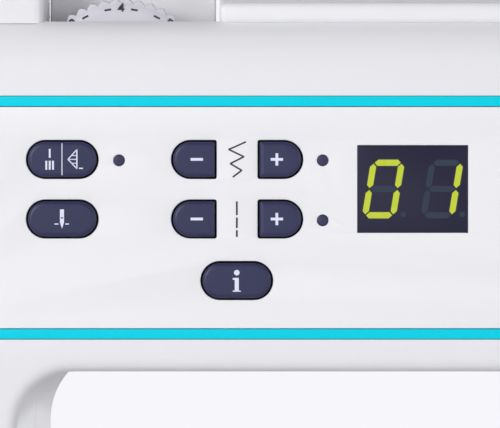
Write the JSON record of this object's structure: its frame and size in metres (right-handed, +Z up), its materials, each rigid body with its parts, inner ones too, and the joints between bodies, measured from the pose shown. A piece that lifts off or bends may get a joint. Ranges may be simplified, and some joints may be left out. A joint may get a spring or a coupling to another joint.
{
  "type": "sewing machine",
  "caption": "Computerised sewing machine with push-button stitch panel, lit stitch display, tension dial, free arm and slide-off tray.",
  "frame": {"origin": "on the table, under the middle of the machine's box", "axes": "+Z up, +X to the right seen from the front, the front with the control panel faces -Y"},
  "size_m": [0.4, 0.156, 0.286],
  "materials": {
    "white_plastic": "satin moulded",
    "panel_plastic": "fine matt",
    "pale_plastic": "satin",
    "grey_plastic": "satin",
    "turquoise_trim": "satin",
    "navy_plastic": "satin",
    "display_window": "gloss",
    "steel": "polished",
    "cast_chassis": "cast",
    "rubber": "matt",
    "circuit_board": "satin",
    "clear_plastic": "clear",
    "lamp_lens": "frosted"
  },
  "bodies": {
    "machine": {"base_casing": "white_plastic", "base_plate": "grey_plastic", "bobbin_case": "navy_plastic", "chassis": "cast_chassis", "control_board": "circuit_board", "display_module": "display_window", "drive_belt": "rubber", "foot_left_back": "rubber", "foot_left_front": "rubber", "foot_right_back": "rubber", "foot_right_front": "rubber", "free_arm_casing": "white_plastic", "front_casing": "white_plastic", "front_panel": "panel_plastic", "length_lens": "navy_plastic", "lower_trim": "turquoise_trim", "motor": "navy_plastic", "needle_plate": "steel", "pattern_lens": "navy_plastic", "pedal_jack": "navy_plastic", "power_inlet": "navy_plastic", "rear_casing": "white_plastic", "sewing_lamp": "lamp_lens", "spool_pin": "steel", "thread_guide_cover": "white_plastic", "timing_belt": "rubber", "top_cover": "pale_plastic", "upper_trim": "turquoise_trim", "width_lens": "navy_plastic"},
    "main_drive": {"main_shaft": "steel", "handwheel": "white_plastic"},
    "motor_rotor": {"motor_pulley": "steel"},
    "lower_drive": {"lower_shaft": "steel"},
    "hook": {"rotary_hook": "steel"},
    "bobbin": {"bobbin": "clear_plastic"},
    "needle_bar": {"needle_bar": "steel", "needle_clamp": "steel", "needle": "steel"},
    "take_up": {"take_up_lever": "steel"},
    "presser": {"presser_bar": "steel", "presser_foot": "steel"},
    "lifter": {"presser_lifter": "grey_plastic"},
    "feed": {"feed_dog": "steel"},
    "bobbin_cover": {"bobbin_cover": "clear_plastic"},
    "tray": {"accessory_tray": "white_plastic"},
    "tray_lid": {"tray_lid": "white_plastic"},
    "lid": {"top_lid": "white_plastic"},
    "handle": {"carry_handle": "white_plastic"},
    "dial": {"tension_dial": "pale_plastic"},
    "winder": {"winder_spindle": "steel"},
    "spool_cap": {"spool_cap": "grey_plastic"},
    "reverse": {"reverse_button": "pale_plastic"},
    "switch": {"power_switch": "navy_plastic"},
    "pattern_button": {"pattern_button": "navy_plastic"},
    "needle_position_button": {"needle_position_button": "navy_plastic"},
    "width_minus_button": {"width_minus_button": "navy_plastic"},
    "width_plus_button": {"width_plus_button": "navy_plastic"},
    "length_minus_button": {"length_minus_button": "navy_plastic"},
    "length_plus_button": {"length_plus_button": "navy_plastic"},
    "information_button": {"information_button": "navy_plastic"}
  },
  "joints": [
    {"name": "main_shaft_spin", "type": "hinge", "parent": "machine", "child": "main_drive", "pos_m": [0, 0.012, 0.218], "axis": [1, 0, 0], "continuous": true},
    {"name": "motor_spin", "type": "hinge", "parent": "machine", "child": "motor_rotor", "pos_m": [0.14, 0.012, 0.12], "axis": [1, 0, 0], "continuous": true},
    {"name": "lower_shaft_spin", "type": "hinge", "parent": "machine", "child": "lower_drive", "pos_m": [0, 0.012, 0.054], "axis": [1, 0, 0], "continuous": true},
    {"name": "hook_spin", "type": "hinge", "parent": "machine", "child": "hook", "pos_m": [-0.138, -0.0295, 0.0475], "axis": [0, 0, 1], "continuous": true},
    {"name": "bobbin_spin", "type": "hinge", "parent": "machine", "child": "bobbin", "pos_m": [-0.138, -0.0295, 0.0525], "axis": [0, 0, 1], "continuous": true},
    {"name": "needle_bar_stroke", "type": "slide", "parent": "machine", "child": "needle_bar", "axis": [0, 0, 1], "range_m": [-0.028, 0]},
    {"name": "take_up_swing", "type": "hinge", "parent": "machine", "child": "take_up", "pos_m": [-0.138, -0.02, 0.206], "axis": [1, 0, 0], "range_deg": [0, 44.5]},
    {"name": "lifter_turn", "type": "hinge", "parent": "machine", "child": "lifter", "pos_m": [-0.12, 0.046, 0.148], "axis": [0, -1, 0], "range_deg": [0, 70]},
    {"name": "presser_lift", "type": "slide", "parent": "machine", "child": "presser", "axis": [0, 0, 1], "range_m": [0, 0.0061]},
    {"name": "feed_stroke", "type": "slide", "parent": "machine", "child": "feed", "axis": [0, 1, 0], "range_m": [-0.0025, 0.0025]},
    {"name": "bobbin_cover_lift", "type": "slide", "parent": "machine", "child": "bobbin_cover", "axis": [0, 0, 1], "range_m": [0, 0.02]},
    {"name": "tray_slide", "type": "slide", "parent": "machine", "child": "tray", "axis": [-1, 0, 0], "range_m": [0, 0.235]},
    {"name": "tray_lid_hinge", "type": "hinge", "parent": "tray", "child": "tray_lid", "pos_m": [-0.083, -0.078, 0.06925], "axis": [1, 0, 0], "range_deg": [0, 100]},
    {"name": "top_lid_hinge", "type": "hinge", "parent": "machine", "child": "lid", "pos_m": [0.056, 0.035, 0.2652], "axis": [-1, 0, 0], "range_deg": [0, 75]},
    {"name": "handle_swing", "type": "hinge", "parent": "machine", "child": "handle", "pos_m": [0, 0.0495, 0.248], "axis": [-1, 0, 0], "range_deg": [-175, 0]},
    {"name": "tension_turn", "type": "hinge", "parent": "machine", "child": "dial", "pos_m": [-0.0756, -0.0488, 0.2498], "axis": [0, 1, 0], "range_deg": [-150, 150]},
    {"name": "winder_shift", "type": "slide", "parent": "machine", "child": "winder", "axis": [-1, 0, 0], "range_m": [0, 0.005]},
    {"name": "spool_cap_slide", "type": "slide", "parent": "machine", "child": "spool_cap", "axis": [-1, 0, 0], "range_m": [0, 0.025]},
    {"name": "reverse_press", "type": "slide", "parent": "machine", "child": "reverse", "axis": [0, 1, 0], "range_m": [0, 0.002], "stiffness_N_per_m": 150},
    {"name": "switch_rock", "type": "hinge", "parent": "machine", "child": "switch", "pos_m": [0.171, -0.006, 0.034], "axis": [0, 1, 0], "range_deg": [0, 10]},
    {"name": "pattern_press", "type": "slide", "parent": "machine", "child": "pattern_button", "axis": [0, 1, 0], "range_m": [0, 0.001], "stiffness_N_per_m": 150},
    {"name": "needle_position_press", "type": "slide", "parent": "machine", "child": "needle_position_button", "axis": [0, 1, 0], "range_m": [0, 0.001], "stiffness_N_per_m": 150},
    {"name": "width_minus_press", "type": "slide", "parent": "machine", "child": "width_minus_button", "axis": [0, 1, 0], "range_m": [0, 0.001], "stiffness_N_per_m": 150},
    {"name": "width_plus_press", "type": "slide", "parent": "machine", "child": "width_plus_button", "axis": [0, 1, 0], "range_m": [0, 0.001], "stiffness_N_per_m": 150},
    {"name": "length_minus_press", "type": "slide", "parent": "machine", "child": "length_minus_button", "axis": [0, 1, 0], "range_m": [0, 0.001], "stiffness_N_per_m": 150},
    {"name": "length_plus_press", "type": "slide", "parent": "machine", "child": "length_plus_button", "axis": [0, 1, 0], "range_m": [0, 0.001], "stiffness_N_per_m": 150},
    {"name": "information_press", "type": "slide", "parent": "machine", "child": "information_button", "axis": [0, 1, 0], "range_m": [0, 0.001], "stiffness_N_per_m": 150}
  ],
  "couplings": [
    {"joint": "motor_spin", "follows": "main_shaft_spin", "ratio": 3},
    {"joint": "lower_shaft_spin", "follows": "main_shaft_spin", "ratio": 1},
    {"joint": "hook_spin", "follows": "main_shaft_spin", "ratio": 2},
    {"joint": "take_up_swing", "follows": "needle_bar_stroke", "rad_per_m": -27.4},
    {"joint": "lifter_turn", "follows": "presser_lift", "rad_per_m": 200}
  ]
}
